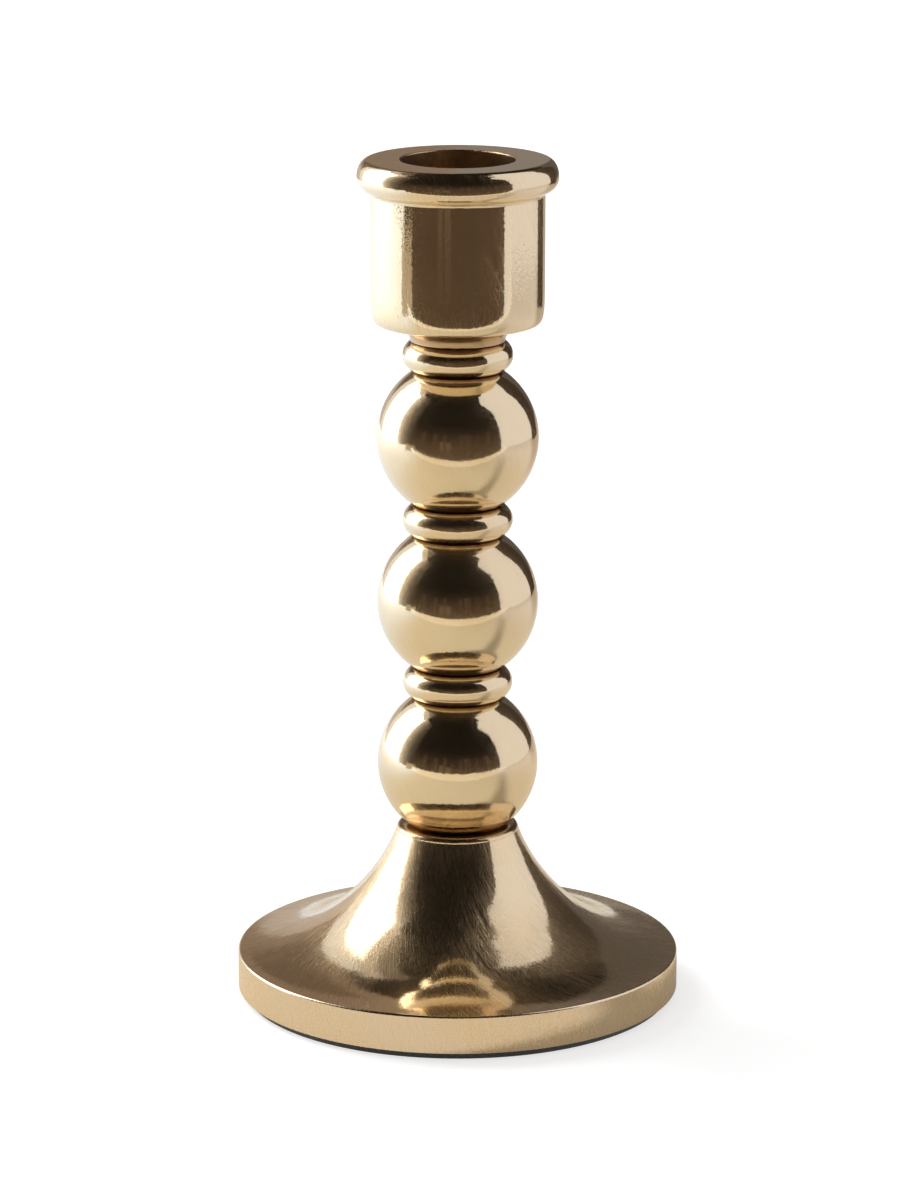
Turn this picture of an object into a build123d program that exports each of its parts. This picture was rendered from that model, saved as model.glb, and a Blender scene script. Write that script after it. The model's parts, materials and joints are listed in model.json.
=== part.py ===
from build123d import *
from math import cos, radians, sin, sqrt
import os

# A turned brass candlestick: a flared base, three balls and three bead rings, and a candle cup,
# clamped on a central tie rod. Millimetres, +Z up, origin on the axis at the surface it stands on.

# Base, driving dimensions
base_radius = 43.6
base_height = 33.0
base_edge_height = 7.45
base_edge_round = 0.5
base_wall = 3.8
base_rim_width = 4.5
boss_thickness = 12.0

# Flare of the base, from the flat foot to the shoulder under the lower ball
foot_slope = radians(4.5)
foot_reach = 15.8
shoulder_radius = 12.0
shoulder_round = 1.05
shoulder_slope = radians(20)
shoulder_reach = 12.0

# Balls and bead rings
ball_radius = 15.75
ball_seat_radius = 8.35
foot_seat_radius = 9.5
ring_radius = 10.75
ring_root_radius = 8.8
ring_height = 5.9

# Registers: a short spigot on one piece centres it in a recess of the next
register_radius = 5.0
register_length = 1.5
register_clearance = 0.1
register_end_gap = 0.3

# Candle cup
cup_radius = 16.8
cup_height = 31.8
cup_bottom_radius = 15.0
cup_foot_height = 6.6
cup_foot_bottom_reach = 1.45
cup_foot_side_reach = 5.6
neck_height = 3.3
neck_radius = 9.25
bead_radius = 19.4
bead_face_radius = 17.2
bead_upper_height = 3.3
bead_lower_height = 2.8
bead_root_fillet = 0.8
bore_radius = 11.1
bore_depth = 24.0
bore_edge_round = 0.25

# Tie rod and the fasteners that clamp the stack
rod_radius = 3.0
rod_clearance = 0.3
rod_end_chamfer = 0.6
rod_engagement = 8.0
rod_end_gap = 0.8
rod_overhang = 2.0
washer_radius = 9.0
washer_thickness = 1.6
washer_clearance = 0.2
lock_washer_radius = 5.9
lock_washer_thickness = 1.6
lock_washer_split = 1.2
nut_across_flats = 10.0
nut_height = 5.0
nut_chamfer = 0.6

# Felt pad glued under the rim of the base
felt_thickness = 1.5
felt_inset = 1.5

# Levels of the stack, from the surface upwards
base_bottom = felt_thickness
base_top = base_bottom + base_height
boss_bottom = base_top - boss_thickness
ball_reach = sqrt(ball_radius**2 - ball_seat_radius**2)
foot_reach_down = sqrt(ball_radius**2 - foot_seat_radius**2)
pitch = 2 * ball_reach + ring_height
ball_levels = [base_top + foot_reach_down + i * pitch for i in range(3)]
ring_levels = [level + ball_reach for level in ball_levels]
neck_bottom = ring_levels[-1] + ring_height
cup_bottom = neck_bottom + neck_height
cup_top = cup_bottom + cup_height
washer_bottom = boss_bottom - washer_thickness
lock_washer_bottom = washer_bottom - lock_washer_thickness
nut_bottom = lock_washer_bottom - nut_height
rod_bottom = nut_bottom - rod_overhang
rod_top = neck_bottom + rod_engagement

# Holes that the rod and the registers need
through_radius = rod_radius + rod_clearance
recess_radius = register_radius + register_clearance
recess_depth = register_length + register_end_gap

# A cylinder with this alignment stands on its location
on_level = (Align.CENTER, Align.CENTER, Align.MIN)

os.makedirs("parts", exist_ok=True)


def finish(piece, name):
    """Name a finished piece and write its STEP file."""
    piece.label = name
    export_step(piece, f"parts/{name}.step")


def bore(radius, bottom, top):
    """Cut a round hole on the axis from one level to another."""
    with Locations((0, 0, bottom)):
        Cylinder(radius, top - bottom, align=on_level, mode=Mode.SUBTRACT)


def spigot(bottom, top):
    """Add a locating spigot on the axis from one level to another."""
    with Locations((0, 0, bottom)):
        Cylinder(register_radius, top - bottom, align=on_level)


def flare(inset):
    """Control points of the flare's curve, moved inset under its surface."""
    foot = Vector(base_radius - base_edge_round, base_bottom + base_edge_height)
    foot -= inset * Vector(sin(foot_slope), cos(foot_slope))
    shoulder = Vector(shoulder_radius, base_top - shoulder_round)
    shoulder -= inset * Vector(cos(shoulder_slope), sin(shoulder_slope))
    foot_handle = foot + foot_reach * Vector(-cos(foot_slope), sin(foot_slope))
    shoulder_handle = shoulder + shoulder_reach * Vector(sin(shoulder_slope), -cos(shoulder_slope))
    return [foot, foot_handle, shoulder_handle, shoulder]


# Felt pad: a disc, set in from the edge of the base.
with BuildPart() as felt_pad:
    with BuildSketch():
        Circle(base_radius - felt_inset)
    extrude(amount=felt_thickness)
finish(felt_pad.part, "felt_pad")

# Base: a turned shell with a flared top, a straight disc edge and a solid boss for the rod.
with BuildPart() as base:
    with BuildSketch(Plane.XZ):
        with BuildLine():
            outer = Bezier(*flare(0))
            land_radius = shoulder_radius - shoulder_round
            RadiusArc(outer @ 1, (land_radius, base_top), -shoulder_round)
            edge_top = base_bottom + base_edge_height - base_edge_round
            Polyline((land_radius, base_top), (0, base_top), (0, base_bottom),
                     (base_radius, base_bottom), (base_radius, edge_top))
            RadiusArc((base_radius, edge_top), outer @ 0, -base_edge_round)
        make_face()
    revolve(axis=Axis.Z)
    with BuildSketch(Plane.XZ):
        with BuildLine():
            inner = Bezier(*flare(base_wall))
            Polyline(inner @ 1, (0, (inner @ 1).Y), (0, base_bottom),
                     ((inner @ 0).X, base_bottom), inner @ 0)
        make_face()
        with Locations((0, base_bottom)):
            Rectangle(base_radius - base_rim_width, boss_bottom - base_bottom,
                      align=(Align.MIN, Align.MIN), mode=Mode.INTERSECT)
    revolve(axis=Axis.Z, mode=Mode.SUBTRACT)
    bore(recess_radius, base_top - recess_depth, base_top)
    bore(through_radius, boss_bottom, base_top)
finish(base.part, "base")

# Balls: the lower one has a wider seat and a spigot for the base.
for name, level, reach_down in (("lower_ball", ball_levels[0], foot_reach_down),
                                ("middle_ball", ball_levels[1], ball_reach),
                                ("upper_ball", ball_levels[2], ball_reach)):
    seat = level - reach_down
    with BuildPart() as ball:
        with BuildSketch(Plane.XZ):
            with Locations((0, level)):
                Circle(ball_radius)
            with Locations((0, seat)):
                Rectangle(ball_radius, reach_down + ball_reach,
                          align=(Align.MIN, Align.MIN), mode=Mode.INTERSECT)
        revolve(axis=Axis.Z)
        if name == "lower_ball":
            spigot(seat - register_length, seat)
        else:
            bore(recess_radius, seat, seat + recess_depth)
        bore(recess_radius, level + ball_reach - recess_depth, level + ball_reach)
        bore(through_radius, seat - register_length, level + ball_reach)
    finish(ball.part, name)

# Bead rings: a round bead with a spigot at each end.
for name, level in zip(("lower_ring", "middle_ring", "upper_ring"), ring_levels):
    with BuildPart() as ring:
        with BuildSketch(Plane.XZ):
            with BuildLine():
                root_bottom = (ring_root_radius, level)
                root_top = (ring_root_radius, level + ring_height)
                ThreePointArc(root_bottom, (ring_radius, level + ring_height / 2), root_top)
                Polyline(root_top, (0, level + ring_height), (0, level), root_bottom)
            make_face()
        revolve(axis=Axis.Z)
        spigot(level - register_length, level + ring_height + register_length)
        bore(through_radius, level - register_length, level + ring_height + register_length)
    finish(ring.part, name)

# Candle cup: a cove under the cup, a wall that turns in softly at its foot, a rolled rim bead,
# the candle bore and a blind tapped hole below it.
bead_level = cup_top - bead_upper_height
bead_root = bead_level - bead_lower_height
cup_foot_top = cup_bottom + cup_foot_height
with BuildPart() as candle_cup:
    with BuildSketch(Plane.XZ):
        with BuildLine():
            EllipticalCenterArc((cup_bottom_radius, neck_bottom), cup_bottom_radius - neck_radius,
                                neck_height, start_angle=180, arc_size=-90)
            Bezier((cup_bottom_radius, cup_bottom),
                   (cup_bottom_radius + cup_foot_bottom_reach, cup_bottom),
                   (cup_radius, cup_foot_top - cup_foot_side_reach),
                   (cup_radius, cup_foot_top))
            Line((cup_radius, cup_foot_top), (cup_radius, bead_root))
            EllipticalCenterArc((cup_radius, bead_level), bead_radius - cup_radius,
                                bead_lower_height, start_angle=-90, arc_size=90)
            EllipticalCenterArc((bead_face_radius, bead_level), bead_radius - bead_face_radius,
                                bead_upper_height, start_angle=0, arc_size=90)
            Polyline((bead_face_radius, cup_top), (0, cup_top), (0, neck_bottom),
                     (neck_radius, neck_bottom))
        make_face()
    revolve(axis=Axis.Z)
    circles = candle_cup.edges().filter_by(GeomType.CIRCLE)
    fillet(circles.filter_by_position(Axis.Z, bead_root, bead_root), bead_root_fillet)
    bore(bore_radius, cup_top - bore_depth, cup_top)
    top_circles = candle_cup.edges().filter_by(GeomType.CIRCLE).group_by(Axis.Z)[-1]
    fillet(top_circles.sort_by(SortBy.RADIUS)[0], bore_edge_round)
    bore(recess_radius, neck_bottom, neck_bottom + recess_depth)
    bore(rod_radius, neck_bottom, rod_top + rod_end_gap)
finish(candle_cup.part, "candle_cup")

# Tie rod: from the tapped hole in the cup to just past the nut.
with BuildPart() as tie_rod:
    with BuildSketch(Plane.XY.offset(rod_bottom)):
        Circle(rod_radius)
    extrude(amount=rod_top - rod_bottom)
    chamfer(tie_rod.edges().filter_by(GeomType.CIRCLE), rod_end_chamfer)
finish(tie_rod.part, "tie_rod")

# Base washer: spreads the clamp load over the boss.
with BuildPart() as base_washer:
    with BuildSketch(Plane.XY.offset(washer_bottom)):
        Circle(washer_radius)
        Circle(rod_radius + washer_clearance, mode=Mode.SUBTRACT)
    extrude(amount=washer_thickness)
finish(base_washer.part, "base_washer")

# Lock washer: a spring ring, split on one side.
with BuildPart() as lock_washer:
    with BuildSketch(Plane.XY.offset(lock_washer_bottom)):
        Circle(lock_washer_radius)
        Circle(rod_radius + washer_clearance, mode=Mode.SUBTRACT)
        Rectangle(lock_washer_radius, lock_washer_split,
                  align=(Align.MIN, Align.CENTER), mode=Mode.SUBTRACT)
    extrude(amount=lock_washer_thickness)
finish(lock_washer.part, "lock_washer")

# Base nut: a hexagon with both ends chamfered on the corners.
nut_corner_radius = nut_across_flats / 2 / cos(radians(30))
with BuildPart() as base_nut:
    with BuildSketch(Plane.XY.offset(nut_bottom)):
        RegularPolygon(nut_across_flats / 2, 6, major_radius=False)
    extrude(amount=nut_height)
    with BuildSketch(Plane.XZ):
        with BuildLine():
            Polyline((0, nut_bottom), (nut_corner_radius - nut_chamfer, nut_bottom),
                     (nut_corner_radius, nut_bottom + nut_chamfer / 2),
                     (nut_corner_radius, nut_bottom + nut_height - nut_chamfer / 2),
                     (nut_corner_radius - nut_chamfer, nut_bottom + nut_height),
                     (0, nut_bottom + nut_height), close=True)
        make_face()
    revolve(axis=Axis.Z, mode=Mode.INTERSECT)
    bore(rod_radius, nut_bottom, nut_bottom + nut_height)
finish(base_nut.part, "base_nut")
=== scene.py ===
import json
import math

import bpy
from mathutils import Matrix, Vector


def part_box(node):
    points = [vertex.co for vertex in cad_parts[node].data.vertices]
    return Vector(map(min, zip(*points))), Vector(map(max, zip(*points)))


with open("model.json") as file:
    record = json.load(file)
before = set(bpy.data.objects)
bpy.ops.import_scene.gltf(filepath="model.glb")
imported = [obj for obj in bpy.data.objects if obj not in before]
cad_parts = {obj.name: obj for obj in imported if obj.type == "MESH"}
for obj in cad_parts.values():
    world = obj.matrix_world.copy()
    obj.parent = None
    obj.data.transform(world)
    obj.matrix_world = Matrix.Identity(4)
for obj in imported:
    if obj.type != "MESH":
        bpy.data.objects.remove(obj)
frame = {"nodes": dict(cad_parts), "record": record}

scene = bpy.context.scene
nodes = frame["nodes"]
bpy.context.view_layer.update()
MM = 0.001


# ---------------------------------------------------------------- node helpers

# Where the Mix node keeps its two colour inputs and its colour output, among those for other data.
MIX_COLOR_A, MIX_COLOR_B, MIX_COLOR_RESULT = 6, 7, 2


def rgba(color):
    """What a colour input takes: an opaque colour, or the socket that works the colour out."""
    return color if isinstance(color, bpy.types.NodeSocket) else (*color, 1)


class Graph:
    """A material's or world's node tree, with short calls for the nodes used here."""

    def __init__(self, tree):
        self.tree = tree
        tree.nodes.clear()

    def add(self, kind, **settings):
        node = self.tree.nodes.new(kind)
        for name, value in settings.items():
            setattr(node, name, value)
        return node

    def link(self, source, target):
        self.tree.links.new(source, target)

    def feed(self, socket, value):
        """Link a socket, or set a constant on it. None leaves it as it is."""
        if isinstance(value, bpy.types.NodeSocket):
            self.link(value, socket)
        elif value is not None:
            socket.default_value = value

    def node(self, kind, inputs, output=0, **settings):
        """Add a node, feed its inputs by name or place, and return one of its outputs."""
        node = self.add(kind, **settings)
        for name, value in inputs.items():
            self.feed(node.inputs[name], value)
        return node.outputs[output]

    def coordinates(self, space="Object"):
        return self.add("ShaderNodeTexCoord").outputs[space]

    def split(self, vector):
        """The X, Y and Z of a vector."""
        node = self.add("ShaderNodeSeparateXYZ")
        self.link(vector, node.inputs[0])
        return tuple(node.outputs)

    def math(self, operation, *values):
        return self.node("ShaderNodeMath", dict(enumerate(values)), operation=operation)

    def vector(self, operation, *vectors, scale=None):
        inputs = dict(enumerate(vectors))
        if scale is not None:
            inputs["Scale"] = scale
        output = "Value" if operation == "LENGTH" else 0
        return self.node("ShaderNodeVectorMath", inputs, output, operation=operation)

    def noise(self, vector, scale, detail=2.0, roughness=0.5, output=0):
        inputs = {"Vector": vector, "Scale": scale, "Detail": detail, "Roughness": roughness}
        return self.node("ShaderNodeTexNoise", inputs, output)

    def remap(self, value, low, high, to_low=0.0, to_high=1.0):
        """Carry the range low, high over to to_low, to_high, easing in and out, and hold its ends."""
        inputs = {"Value": value, "From Min": low, "From Max": high, "To Min": to_low, "To Max": to_high}
        return self.node("ShaderNodeMapRange", inputs, interpolation_type="SMOOTHSTEP")

    def mix_color(self, factor, a, b):
        inputs = {"Factor": factor, MIX_COLOR_A: rgba(a), MIX_COLOR_B: rgba(b)}
        return self.node("ShaderNodeMix", inputs, MIX_COLOR_RESULT, data_type="RGBA")

    def bump(self, height, strength, distance):
        return self.node("ShaderNodeBump", {"Strength": strength, "Distance": distance, "Height": height})

    def metal(self, color, roughness, normal=None):
        return self.node("ShaderNodeBsdfPrincipled", {"Metallic": 1.0, "Base Color": color,
                                                      "Roughness": roughness, "Normal": normal})

    def mix_shader(self, factor, a, b):
        return self.node("ShaderNodeMixShader", {0: factor, 1: a, 2: b})

    def finish(self, shader, kind="ShaderNodeOutputMaterial"):
        self.link(shader, self.add(kind).inputs["Surface"])


def new_material(name):
    material = bpy.data.materials.new(name)
    material.use_nodes = True
    return material, Graph(material.node_tree)


# ---------------------------------------------------------------- the CAD pieces

BALLS = ("lower_ball", "middle_ball", "upper_ball")
RINGS = ("lower_ring", "middle_ring", "upper_ring")
STEEL_PIECES = ("tie_rod", "base_washer", "lock_washer", "base_nut")


def half_width(node_name):
    """Largest radius of a turned CAD node."""
    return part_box(node_name)[1].x


def joint_levels(piece):
    """Heights of the joints at the base, balls and cup that a piece of the stem reaches."""
    low, high = (corner.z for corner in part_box(piece))
    joints = [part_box(ball)[1].z for ball in ("base", *BALLS)]
    joints += [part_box(ball)[0].z for ball in ("middle_ball", "upper_ball", "candle_cup")]
    return [level for level in joints if low - MM < level < high + MM]


def assign(node_name, material):
    mesh = nodes[node_name].data
    mesh.materials.clear()
    mesh.materials.append(material)


# ---------------------------------------------------------------- brass

BRASS = (0.86, 0.72, 0.51)
BRASS_DEEP = (0.82, 0.66, 0.44)
BRASS_SCRATCHED = (0.90, 0.65, 0.37)
# Tarnish together with painted shade in the gaps at the joints.
BRASS_TARNISH_AND_SHADE = (0.30, 0.19, 0.09)
# Painted shade inside the deep candle bore.
BRASS_BORE_SHADE = (0.60, 0.42, 0.24)
# Painted reflection: the base's rim tinted like the warmer table it reflects.
BRASS_RIM_REFLECTION = (0.88, 0.75, 0.60)

# Noise scales, in features per metre.
PATCHES = 55.0
CLOUDS = 60.0
WAVES = 90.0
RAGGED_EDGE = 700.0
GRAIN = 3500.0

# Width and length of the two kinds of hairline, and how much the broad ones turn about the axis.
FINE_HAIRLINE = (0.09 * MM, 4.0 * MM)
BROAD_HAIRLINE = (0.25 * MM, 9.0 * MM)
BROAD_SEED_OFFSET = 7.3
BROAD_TWIST = 0.5

# Darkening at the joints between pieces: tarnish together with painted shade of the gaps.
TARNISH_AND_SHADE_FULL, TARNISH_AND_SHADE_END = 0.25 * MM, 0.85 * MM
TARNISH_AND_SHADE_RAGGEDNESS = 0.3 * MM
TARNISH_AND_SHADE_STRENGTH = 0.95
RIM_START, RIM_FULL = 0.9 * MM, 0.2 * MM
BORE_EDGE = 0.3 * MM
BORE_HAZE = 0.55
GRAIN_TILT = 0.5
POLISHED_GRAIN = 0.14
WAVE_STRENGTH, WAVE_HEIGHT = 0.5, 0.02 * MM
ROUGHNESS_SPREAD = 0.03
SCRATCH_ROUGHNESS = 0.30
LINE_RANGE = (0.75, 1.25)
PLAIN_CONTRAST, BRUSHED_CONTRAST = 0.15, 0.6
PATCH_RANGE = (0.5, 1.5)


def turned_coordinates(graph, position):
    """The way out from a turned piece's axis, the distance from it, and the height."""
    flat = graph.vector("MULTIPLY", position, (1, 1, 0))
    return graph.vector("NORMALIZE", flat), graph.vector("LENGTH", flat), graph.split(position)[2]


def hairlines(graph, outward, along, radius, size, seed, twist=0.0):
    """Noise drawn out along the profile into fine lines. The size is their width and length."""
    width, length = size
    if twist:
        angle = graph.math("MULTIPLY", along, twist / radius)
        outward = graph.node("ShaderNodeVectorRotate", {"Vector": outward, "Angle": angle},
                             rotation_type="Z_AXIS")
    around = graph.vector("SCALE", outward, scale=radius / width)
    run = graph.math("MULTIPLY_ADD", along, 1 / length, seed)
    place = graph.vector("ADD", around, graph.node("ShaderNodeCombineXYZ", {"Z": run}))
    return graph.noise(place, 1.0, detail=1.5, roughness=0.6)


def scratch_lines(graph, outward, along, radius, seed):
    """Fine and broad hairlines together. The sum is about 1 on average."""
    fine = hairlines(graph, outward, along, radius, FINE_HAIRLINE, seed)
    broad = hairlines(graph, outward, along, radius, BROAD_HAIRLINE, seed + BROAD_SEED_OFFSET, BROAD_TWIST)
    return graph.math("ADD", fine, broad)


def scratch_haze(graph, position, lines, dulling, brushed):
    """The share of scratched surface: in lines where it is brushed, and in patches."""
    contrast = PLAIN_CONTRAST + BRUSHED_CONTRAST * brushed
    haze = graph.remap(lines, *LINE_RANGE, (1 - contrast) * dulling, (1 + contrast) * dulling)
    patch = graph.remap(graph.noise(position, PATCHES, detail=3.0), 0.35, 0.7, *PATCH_RANGE)
    return graph.math("MULTIPLY", haze, patch)


def tarnish_and_shade_mask(graph, position, height, levels):
    """Tarnish and painted shade of the gaps: strong at the joints, with a ragged edge, and gone within a
    millimetre of them.
    """
    gaps = [graph.math("ABSOLUTE", graph.math("SUBTRACT", height, level)) for level in levels]
    nearest = gaps[0]
    for gap in gaps[1:]:
        nearest = graph.math("MINIMUM", nearest, gap)
    ragged = graph.math("MULTIPLY_ADD", graph.noise(position, RAGGED_EDGE), TARNISH_AND_SHADE_RAGGEDNESS, nearest)
    return graph.remap(ragged, TARNISH_AND_SHADE_FULL, TARNISH_AND_SHADE_END, TARNISH_AND_SHADE_STRENGTH, 0.0)


def brass_normals(graph, position, across):
    """The normal of the polished metal, with faint waves, and that of its scratches, tilted every way."""
    middle = (0.5, 0.5, 0.5)
    grain = graph.noise(position, GRAIN, output="Color")
    speckle = graph.vector("SCALE", graph.vector("SUBTRACT", grain, middle), scale=GRAIN_TILT)
    waves = graph.bump(graph.noise(position, WAVES, detail=1.0), WAVE_STRENGTH, WAVE_HEIGHT)
    faint = graph.vector("SCALE", speckle, scale=POLISHED_GRAIN)
    smooth = graph.vector("NORMALIZE", graph.vector("ADD", waves, faint))
    tilt = graph.vector("ADD", across, speckle)
    return smooth, graph.vector("NORMALIZE", graph.vector("ADD", smooth, tilt))


def brass(piece, seed, dulling=0.14, brushed=0.0, polish=0.05, bore_radius=None, rim_reflection_color=None):
    """Polished brass. Fine scratches spread a warm haze beside strong lights, and the joints are darker with
    tarnish and painted shade of the gaps between pieces.

    dulling is the share of scratched surface, brushed turns the scratches into lines along the profile,
    and polish is the roughness between them."""
    radius = half_width(piece)
    material, graph = new_material(f"{piece}_brass")
    position = graph.coordinates()
    outward, reach, height = turned_coordinates(graph, position)
    rim = graph.remap(reach, radius - RIM_START, radius - RIM_FULL)

    cloud = graph.noise(position, CLOUDS, detail=4.0)
    # Tarnish together with painted shade in the gaps at the joints.
    tarnish_and_shade = tarnish_and_shade_mask(graph, position, height, joint_levels(piece))
    color = graph.mix_color(graph.remap(cloud, 0.45, 0.75), BRASS, BRASS_DEEP)
    color = graph.mix_color(tarnish_and_shade, color, BRASS_TARNISH_AND_SHADE)
    dull_color = graph.mix_color(tarnish_and_shade, BRASS_SCRATCHED, BRASS_TARNISH_AND_SHADE)
    lines = scratch_lines(graph, outward, graph.math("SUBTRACT", height, reach), radius, seed)
    haze = scratch_haze(graph, position, lines, dulling, brushed)
    # Painted reflection: the rim is tinted like the warmer table it reflects.
    if rim_reflection_color is not None:
        color = graph.mix_color(rim, color, rim_reflection_color)
    # Painted shade inside the deep bore, where the wall is also hazier.
    if bore_radius is not None:
        bored = graph.remap(reach, bore_radius, bore_radius + BORE_EDGE, 1.0, 0.0)
        haze = graph.math("MAXIMUM", haze, graph.math("MULTIPLY", bored, BORE_HAZE))
        color = graph.mix_color(bored, color, BRASS_BORE_SHADE)
        dull_color = graph.mix_color(bored, dull_color, BRASS_BORE_SHADE)

    inside_rim = graph.remap(rim, 0.0, 1.0, brushed, 0.0)
    tilt = graph.math("MULTIPLY", graph.math("SUBTRACT", lines, 1.0), inside_rim)
    tangent = graph.vector("CROSS_PRODUCT", (0, 0, 1), outward)
    smooth, rough = brass_normals(graph, position, graph.vector("SCALE", tangent, scale=tilt))
    polished = graph.metal(color, graph.remap(cloud, 0.3, 0.7, polish, polish + ROUGHNESS_SPREAD), smooth)
    scratched = graph.metal(dull_color, SCRATCH_ROUGHNESS, rough)
    graph.finish(graph.mix_shader(haze, polished, scratched))
    return material


# ---------------------------------------------------------------- steel and felt

STEEL, STEEL_DARK = (0.60, 0.61, 0.63), (0.48, 0.50, 0.55)
STEEL_CRYSTALS = 900.0
FELT, FELT_PALE = (0.012, 0.012, 0.013), (0.045, 0.043, 0.042)
FELT_FIBRES = 2600.0
FELT_NAP = 0.15 * MM


def plated_steel(name):
    """Zinc plated steel with a faint bluish crystalline mottle."""
    material, graph = new_material(name)
    mottle = graph.noise(graph.coordinates(), STEEL_CRYSTALS, detail=3.0)
    color = graph.mix_color(graph.remap(mottle, 0.35, 0.7), STEEL, STEEL_DARK)
    graph.finish(graph.metal(color, graph.remap(mottle, 0.3, 0.7, 0.22, 0.42)))
    return material


def felt(name):
    """Black pressed wool felt: matted fibres, a soft sheen and a bumpy surface."""
    material, graph = new_material(name)
    fibres = graph.noise(graph.coordinates(), FELT_FIBRES, detail=6.0, roughness=0.75)
    graph.finish(graph.node("ShaderNodeBsdfPrincipled", {
        "Base Color": graph.mix_color(graph.remap(fibres, 0.35, 0.7), FELT, FELT_PALE),
        "Roughness": graph.remap(fibres, 0.3, 0.8, 0.85, 1.0),
        "Normal": graph.bump(fibres, 0.8, FELT_NAP),
        "Sheen Weight": 0.35,
        "Sheen Roughness": 0.6,
    }))
    return material


# ---------------------------------------------------------------- materials on the pieces

SEED_STEP = 11.0

for order, name in enumerate(BALLS + RINGS):
    assign(name, brass(name, SEED_STEP * order))
socket = next(mount for mount in frame["record"]["mounts"] if mount["name"] == "candle_socket")
assign("candle_cup", brass("candle_cup", seed=67.0, dulling=0.18, brushed=0.5,
                           bore_radius=socket["dims"]["r_mm"] * MM))
assign("base", brass("base", seed=79.0, dulling=0.33, brushed=0.6, polish=0.07, rim_reflection_color=BRASS_RIM_REFLECTION))

steel = plated_steel("zinc_plated_steel")
for name in STEEL_PIECES:
    assign(name, steel)
assign("felt_pad", felt("black_felt"))


# ---------------------------------------------------------------- studio screens

# The screens are only seen in the brass. Each is placed by azimuths and elevations in degrees, and by how
# far away it is from the middle of the stem in metres.
STEM_MIDDLE = 0.0815
BAND_STEP = 8


def emitter(name, color, strength):
    material, graph = new_material(name)
    graph.finish(graph.node("ShaderNodeEmission", {"Color": rgba(color), "Strength": strength}))
    return material


def stage_mesh(name, corners, faces, material, camera=False, diffuse=False, glossy=True):
    """A piece of the studio: never part of the object, and it casts no shadow."""
    mesh = bpy.data.meshes.new(name)
    mesh.from_pydata([tuple(c) for c in corners], [], faces)
    mesh.materials.append(material)
    piece = bpy.data.objects.new(name, mesh)
    scene.collection.objects.link(piece)
    piece.visible_camera = camera
    piece.visible_diffuse = diffuse
    piece.visible_glossy = glossy
    piece.visible_shadow = False
    return piece


def toward(azimuth, elevation, distance):
    """A point seen from the middle of the stem. Azimuth 0 is towards the viewer, 90 to the right."""
    a, e = math.radians(azimuth), math.radians(elevation)
    flat = distance * math.cos(e)
    return Vector((flat * math.sin(a), -flat * math.cos(a), STEM_MIDDLE + distance * math.sin(e)))


def card(name, outline, distance, color, strength):
    """A flat-lit card whose outline is a list of azimuths and elevations."""
    corners = [toward(a, e, distance) for a, e in outline]
    stage_mesh(name, corners, [list(range(len(corners)))], emitter(name, color, strength))


def band(name, azimuths, elevations, distance, color, strength):
    """A curved screen between two azimuths and two elevations."""
    left, right = azimuths
    steps = max(1, round((right - left) / BAND_STEP))
    span = [left + (right - left) * i / steps for i in range(steps + 1)]
    corners = [toward(a, e, distance) for a in span for e in elevations]
    faces = [[2 * i, 2 * i + 2, 2 * i + 3, 2 * i + 1] for i in range(steps)]
    stage_mesh(name, corners, faces, emitter(name, color, strength))


# The big softbox at the left, with a haze above it and an edge that fades towards the viewer.
SOFTBOX_AWAY = 1.0
SOFTBOX_LEFT, SOFTBOX_RIGHT = -136, -94
SOFTBOX_FOOT, SOFTBOX_TOP = -5, 49
EDGE_STEPS, EDGE_WIDTH, EDGE_TOP = 7, 4, 54
EDGE_STRENGTH, EDGE_FALL = 0.78, 0.62

band("softbox", (SOFTBOX_LEFT, SOFTBOX_RIGHT), (SOFTBOX_FOOT, SOFTBOX_TOP), SOFTBOX_AWAY,
     (1.0, 0.985, 0.96), 2.9)
band("softbox_far_side", (-148, SOFTBOX_LEFT), (SOFTBOX_FOOT, SOFTBOX_TOP), SOFTBOX_AWAY,
     (0.96, 1.0, 1.04), 0.84)
band("softbox_top_edge", (-152, -92), (SOFTBOX_TOP, 56), SOFTBOX_AWAY, (1.0, 0.93, 0.85), 0.6)
band("softbox_top_haze", (-154, -90), (56, 64), SOFTBOX_AWAY, (1.0, 0.85, 0.72), 0.16)
for step in range(EDGE_STEPS):
    start = SOFTBOX_RIGHT + EDGE_WIDTH * step
    band(f"softbox_edge_{step}", (start, start + EDGE_WIDTH), (SOFTBOX_FOOT, EDGE_TOP), SOFTBOX_AWAY,
         (1.0, 0.94 - 0.02 * step, 0.88 - 0.04 * step), EDGE_STRENGTH * EDGE_FALL ** step)

# The pale panel at the right, with a dark post in front of its far side.
PANEL_AWAY = 0.9
PANEL_FOOT, PANEL_TOP = -14, 62
PANEL_LEFT, PANEL_RIGHT = 63, 133
PANEL_COLOR, PANEL_STRENGTH = (1.0, 0.99, 1.03), 0.85
POST_AWAY, POST_FOOT, POST_TOP = 0.66, -9, 60

card("right_panel_corner", [(51, 55), (PANEL_LEFT, 38), (PANEL_LEFT, PANEL_TOP)], PANEL_AWAY,
     (1.0, 0.985, 1.02), 0.84)
band("right_panel", (PANEL_LEFT, PANEL_RIGHT), (PANEL_FOOT, PANEL_TOP), PANEL_AWAY,
     PANEL_COLOR, PANEL_STRENGTH)
band("right_panel_top", (74, PANEL_RIGHT), (PANEL_TOP, 71), PANEL_AWAY, PANEL_COLOR, PANEL_STRENGTH)
card("dark_post", [(129, POST_FOOT), (129, 0), (126, 20), (120, 36), (130, 48), (131, POST_TOP),
                   (150, POST_TOP), (150, POST_FOOT)], POST_AWAY, (1.0, 0.74, 0.55), 0.04)

# The backdrop, in dim warm pieces behind the object.
LEFT_BACKDROP_AWAY, SHADE_AWAY = 0.99, 0.96
BACKDROP_AWAY = 1.3
BACKDROP_FOOT = -6

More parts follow.
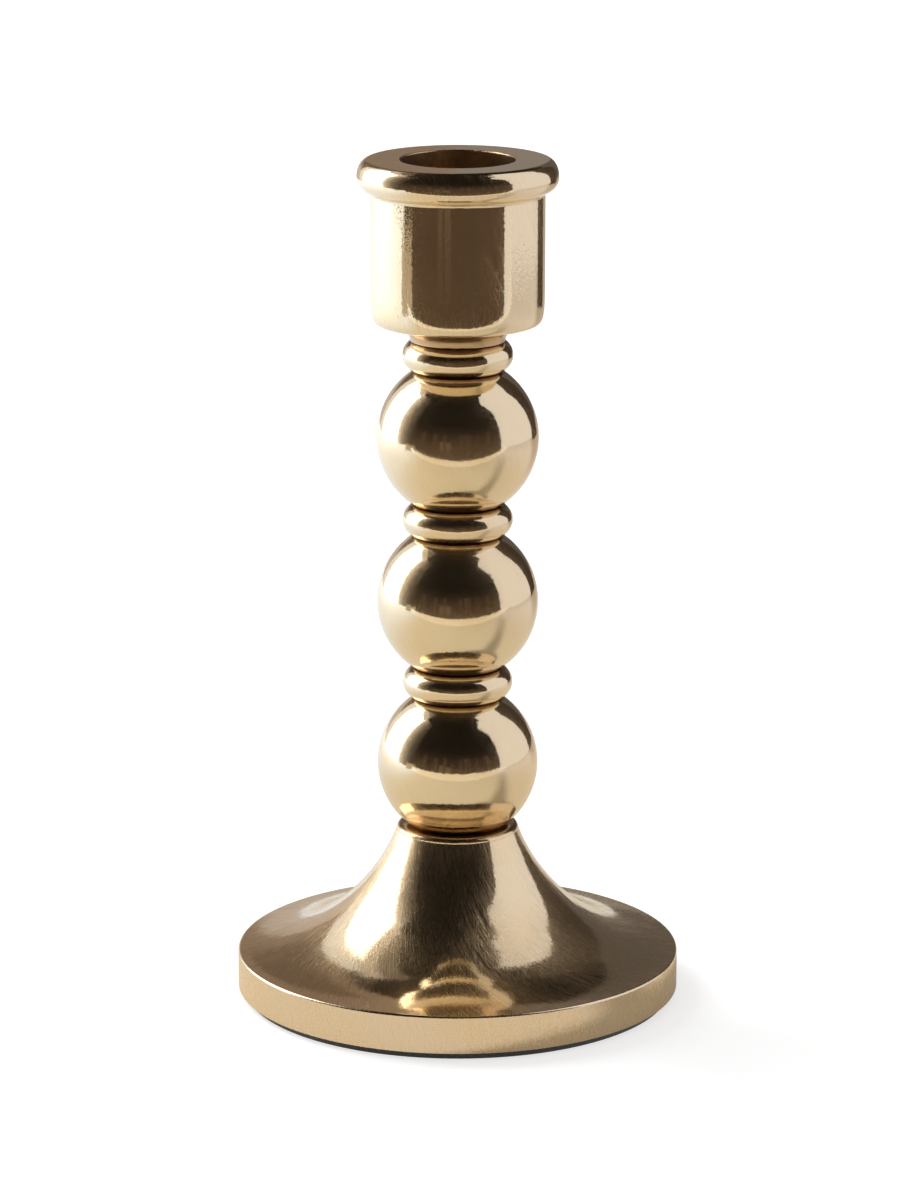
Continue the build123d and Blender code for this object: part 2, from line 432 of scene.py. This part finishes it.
band("left_backdrop", (-180, -148), (9, 44), LEFT_BACKDROP_AWAY, (1.0, 0.76, 0.60), 0.25)
band("left_backdrop_low", (-180, -148), (BACKDROP_FOOT, 9), LEFT_BACKDROP_AWAY, (1.0, 0.90, 0.85), 0.55)
band("left_backdrop_shade", (-170, -143), (15, 38), SHADE_AWAY, (1.0, 0.74, 0.58), 0.13)
band("backdrop", (147, 173), (BACKDROP_FOOT, 32), BACKDROP_AWAY, (1.0, 0.90, 0.86), 0.10)
band("backdrop_middle", (173, 180), (BACKDROP_FOOT, 16), BACKDROP_AWAY, (1.0, 0.90, 0.80), 0.26)
band("backdrop_middle_high", (173, 180), (16, 36), BACKDROP_AWAY, (1.0, 0.86, 0.75), 0.17)

# Dim things on the viewer's side of the dark room. Each upright is an azimuth and a width.
ROOM_AWAY, STAND_AWAY = 1.2, 0.55
ROOM_UPRIGHTS = ((-52, 5), (-34, 4), (-20, 3), (3, 3), (10, 4), (16, 2), (27, 2), (42, 4))

band("left_stand", (-78, -62), (-11, -2), STAND_AWAY, (1.0, 0.85, 0.64), 0.50)
band("window_frame", (-26, -9), (-7, 5), ROOM_AWAY, (1.0, 0.72, 0.50), 0.13)
for azimuth, width in ROOM_UPRIGHTS:
    band(f"room_upright_{azimuth}", (azimuth, azimuth + width), (-20, 16), ROOM_AWAY,
         (1.0, 0.74, 0.50), 0.075)


# ---------------------------------------------------------------- floor and tabletop

FLOOR_REACH = 6.0
FLOOR_GREY, FLOOR_GLOW = 0.5, 0.66
TABLE_REACH = 2.0
TABLE_LIFT = 0.0002
TABLE_FRONT = -0.200
TABLE_LIP = 0.037
# The table's own warm colour, then painted light: cool from the lamps at the left, pink from the panel at the
# right, and painted shade.
TABLE_WARM, TABLE_LEFT_LIGHT = (0.77, 0.70, 0.56), (0.86, 0.92, 1.0)
TABLE_RIGHT_LIGHT, TABLE_PAINTED_SHADE = (0.98, 0.93, 0.92), (0.62, 0.53, 0.45)


def floor_surface(name):
    """Matt grey with an even glow, so that the camera sees it white outside the shadow."""
    material, graph = new_material(name)
    graph.finish(graph.node("ShaderNodeBsdfPrincipled", {
        "Base Color": rgba((FLOOR_GREY, FLOOR_GREY, FLOOR_GREY)),
        "Roughness": 1.0,
        "Specular IOR Level": 0.0,
        "Emission Color": (1, 1, 1, 1),
        "Emission Strength": FLOOR_GLOW,
    }))
    return material


def table_surface(name):
    """The tabletop as the brass sees it: warm near the viewer, cooler towards the lights at both sides in
    painted light, with painted shade behind on the right.
    """
    material, graph = new_material(name)
    across, back, _ = graph.split(graph.coordinates())
    # Painted light towards the lamps at the left and right, and painted shade behind on the right.
    left = graph.remap(graph.math("SUBTRACT", back, across), 0.03, 0.30)
    right = graph.remap(graph.math("MULTIPLY_ADD", back, 0.4, across), 0.03, 0.45)
    behind = graph.remap(graph.math("MULTIPLY_ADD", across, -0.6, back), 0.0, 0.15)
    shade = graph.math("MULTIPLY", behind, graph.remap(across, 0.05, 0.20))
    color = graph.mix_color(left, TABLE_WARM, TABLE_LEFT_LIGHT)
    color = graph.mix_color(right, color, TABLE_RIGHT_LIGHT)
    color = graph.mix_color(shade, color, TABLE_PAINTED_SHADE)
    graph.finish(graph.node("ShaderNodeBsdfDiffuse", {"Color": color}))
    return material


# Seen by the camera, and not in the brass.
floor = stage_mesh("floor", [(-FLOOR_REACH, -FLOOR_REACH, 0), (FLOOR_REACH, -FLOOR_REACH, 0),
                             (FLOOR_REACH, FLOOR_REACH, 0), (-FLOOR_REACH, FLOOR_REACH, 0)],
                   [[0, 1, 2, 3]], floor_surface("pale_floor"), camera=True, diffuse=True, glossy=False)

# Seen in the brass only: a tabletop that ends in front of the object, with an upright lip there.
table = stage_mesh("table", [(-TABLE_REACH, TABLE_FRONT, TABLE_LIP), (TABLE_REACH, TABLE_FRONT, TABLE_LIP),
                             (TABLE_REACH, TABLE_FRONT, TABLE_LIFT), (-TABLE_REACH, TABLE_FRONT, TABLE_LIFT),
                             (TABLE_REACH, TABLE_REACH, TABLE_LIFT), (-TABLE_REACH, TABLE_REACH, TABLE_LIFT)],
                   [[0, 1, 2, 3], [3, 2, 4, 5]], table_surface("pale_table"))


# ---------------------------------------------------------------- lights and world

ROOM_LOW, ROOM_HIGH = (0.080, 0.052, 0.034), (0.003, 0.002, 0.0015)
FILL = (0.45, 0.45, 0.45)
BACKGROUND = (0.95, 0.95, 0.95)


def area_light(name, place, size, power, receiver):
    """A lamp aimed at the foot of the object, that lights one receiver and isn't seen in the brass."""
    light = bpy.data.lights.new(name, "AREA")
    light.size = size
    light.energy = power
    lamp = bpy.data.objects.new(name, light)
    lamp.location = place
    lamp.rotation_euler = (-place).to_track_quat("-Z", "Y").to_euler()
    lamp.visible_glossy = False
    scene.collection.objects.link(lamp)
    lit = bpy.data.collections.new(name + "_receivers")
    lit.objects.link(receiver)
    lamp.light_linking.receiver_collection = lit


def studio_world():
    """Pale for the viewer, a soft fill for matt surfaces, and a dark room for polished ones."""
    world = bpy.data.worlds.new("studio")
    world.use_nodes = True
    scene.world = world
    graph = Graph(world.node_tree)
    rays = graph.add("ShaderNodeLightPath")
    height = graph.split(graph.coordinates("Generated"))[2]
    room = graph.mix_color(graph.remap(height, -0.2, 0.5), ROOM_LOW, ROOM_HIGH)
    fill = graph.mix_color(rays.outputs["Is Camera Ray"], FILL, BACKGROUND)
    seen = graph.mix_color(rays.outputs["Is Glossy Ray"], fill, room)
    graph.finish(graph.node("ShaderNodeBackground", {"Color": seen}), "ShaderNodeOutputWorld")


area_light("key", toward(-115, 31, 1.7), size=0.38, power=28.0, receiver=table)
area_light("overhead", toward(-125, 44, 2.8), size=1.6, power=62.0, receiver=floor)
studio_world()
scene.view_settings.view_transform = "Standard"


# ---------------------------------------------------------------- camera

CAMERA_PLACE = (-0.0015, -0.9045, 0.311)
CAMERA_DIP = 14.345
CAMERA_LENS = 143.3
CAMERA_SENSOR = 36.0
CLIP_START = 0.05

camera_data = bpy.data.cameras.new("camera")
camera_data.lens = CAMERA_LENS
camera_data.sensor_width = CAMERA_SENSOR
camera_data.clip_start = CLIP_START
camera = bpy.data.objects.new("camera", camera_data)
camera.location = CAMERA_PLACE
camera.rotation_euler = (math.radians(90 - CAMERA_DIP), 0, 0)
scene.collection.objects.link(camera)
scene.camera = camera
